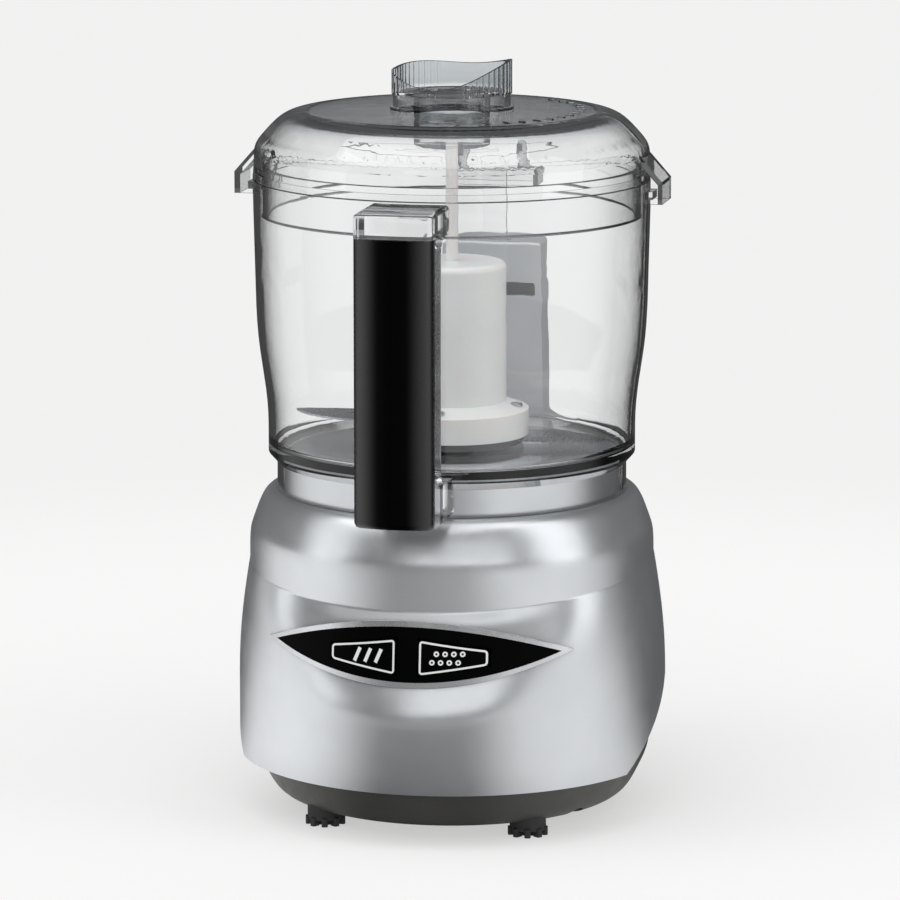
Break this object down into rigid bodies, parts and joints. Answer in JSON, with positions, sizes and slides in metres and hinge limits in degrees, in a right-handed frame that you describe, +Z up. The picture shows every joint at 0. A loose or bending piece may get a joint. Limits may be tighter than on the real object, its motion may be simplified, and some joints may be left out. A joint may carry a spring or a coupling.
{
  "type": "food processor",
  "caption": "Small food processor: silver base with a geared motor, clear handled bowl with a tall-hub knife, and a clear lid with a pouring cup.",
  "frame": {"origin": "on the drive axis, at the surface that the feet stand on", "axes": "+Z up along the drive axis, -Y to the front with the buttons and the handle, +Y to the rear column"},
  "size_m": [0.1348, 0.172, 0.2345],
  "materials": {
    "silver_paint": "satin silver paint on moulded plastic",
    "bright_silver": "bright plated trim",
    "black_gloss": "high gloss black",
    "black_plastic": "fine matt texture",
    "dark_plastic": "satin",
    "grip_black": "satin black",
    "black_rubber": "matt rubber",
    "clear_plastic": "clear moulded plastic",
    "lid_clear": "clear moulded plastic, slightly smoked",
    "white_plastic": "milky white moulded plastic",
    "nylon": "natural nylon",
    "blade_steel": "ground stainless steel",
    "polished_steel": "ground steel",
    "zinc_steel": "zinc-plated steel",
    "laminated_steel": "varnished laminations",
    "enamelled_copper": "enamelled copper wire",
    "brass": "drawn brass",
    "bronze": "sintered bronze",
    "carbon": "pressed carbon",
    "circuit_board": "green solder mask",
    "relay_case": "blue moulded case",
    "capacitor_case": "yellow moulded case"
  },
  "bodies": {
    "base": {"motor_housing": "silver_paint", "rear_column": "silver_paint", "column_screws": "zinc_steel", "bottom_cover": "black_plastic", "cover_screws": "zinc_steel", "cord_inlet": "black_rubber", "feet": "black_rubber", "panel_bezel": "bright_silver", "control_panel": "black_gloss", "control_board": "circuit_board", "push_switches": "black_plastic", "board_screws": "zinc_steel", "power_relay": "relay_case", "noise_capacitor": "capacitor_case", "interlock_switch": "black_plastic", "interlock_spring": "zinc_steel", "field_core": "laminated_steel", "field_windings": "enamelled_copper", "lower_bracket": "zinc_steel", "brush_holders": "brass", "carbon_brushes": "carbon", "gearbox_plate": "zinc_steel", "gearbox_screws": "zinc_steel", "motor_bolts": "zinc_steel", "core_spacers": "zinc_steel", "lower_bearing": "polished_steel", "upper_bearing": "polished_steel", "lower_spindle_bush": "bronze", "upper_spindle_bush": "bronze", "spindle_seal": "black_rubber"},
    "chop_key": {"chop_button": "black_gloss"},
    "grind_key": {"grind_button": "black_gloss"},
    "interlock": {"interlock_rod": "white_plastic"},
    "motor": {"armature_core": "laminated_steel", "armature_windings": "enamelled_copper", "commutator": "brass", "motor_shaft": "polished_steel", "cooling_fan": "black_plastic", "drive_pinion": "polished_steel"},
    "spindle": {"drive_gear": "nylon", "gear_ring_clip": "zinc_steel", "drive_spindle": "polished_steel"},
    "bowl_unit": {"bowl": "clear_plastic", "grip_insert": "grip_black"},
    "knife": {"blade_hub": "white_plastic", "upper_blade": "blade_steel", "lower_blade": "blade_steel", "blade_rivets": "polished_steel", "hub_base_ring": "dark_plastic", "hub_pin": "white_plastic"},
    "lid_unit": {"lid": "lid_clear"}
  },
  "joints": [
    {"name": "chop_press", "type": "slide", "parent": "base", "child": "chop_key", "axis": [0, 1, 0], "range_m": [0, 0.0012], "stiffness_N_per_m": 600},
    {"name": "grind_press", "type": "slide", "parent": "base", "child": "grind_key", "axis": [0, 1, 0], "range_m": [0, 0.0012], "stiffness_N_per_m": 600},
    {"name": "interlock_press", "type": "slide", "parent": "base", "child": "interlock", "axis": [0, 0, -1], "range_m": [0, 0.003], "stiffness_N_per_m": 200, "deforming": ["interlock_spring"]},
    {"name": "motor_spin", "type": "hinge", "parent": "base", "child": "motor", "pos_m": [0, 0.024, 0.05], "axis": [0, 0, 1], "continuous": true},
    {"name": "spindle_spin", "type": "hinge", "parent": "base", "child": "spindle", "pos_m": [0, 0, 0.1], "axis": [0, 0, 1], "continuous": true},
    {"name": "bowl_lift", "type": "slide", "parent": "base", "child": "bowl_unit", "axis": [0, 0, 1], "range_m": [0, 0.09]},
    {"name": "knife_spin", "type": "hinge", "parent": "bowl_unit", "child": "knife", "pos_m": [0, 0, 0.15], "axis": [0, 0, 1], "continuous": true},
    {"name": "lid_lift", "type": "slide", "parent": "bowl_unit", "child": "lid_unit", "axis": [0, 0, 1], "range_m": [0, 0.06]}
  ],
  "couplings": [
    {"joint": "spindle_spin", "follows": "motor_spin", "ratio": -0.33333},
    {"joint": "knife_spin", "follows": "motor_spin", "ratio": -0.33333}
  ]
}
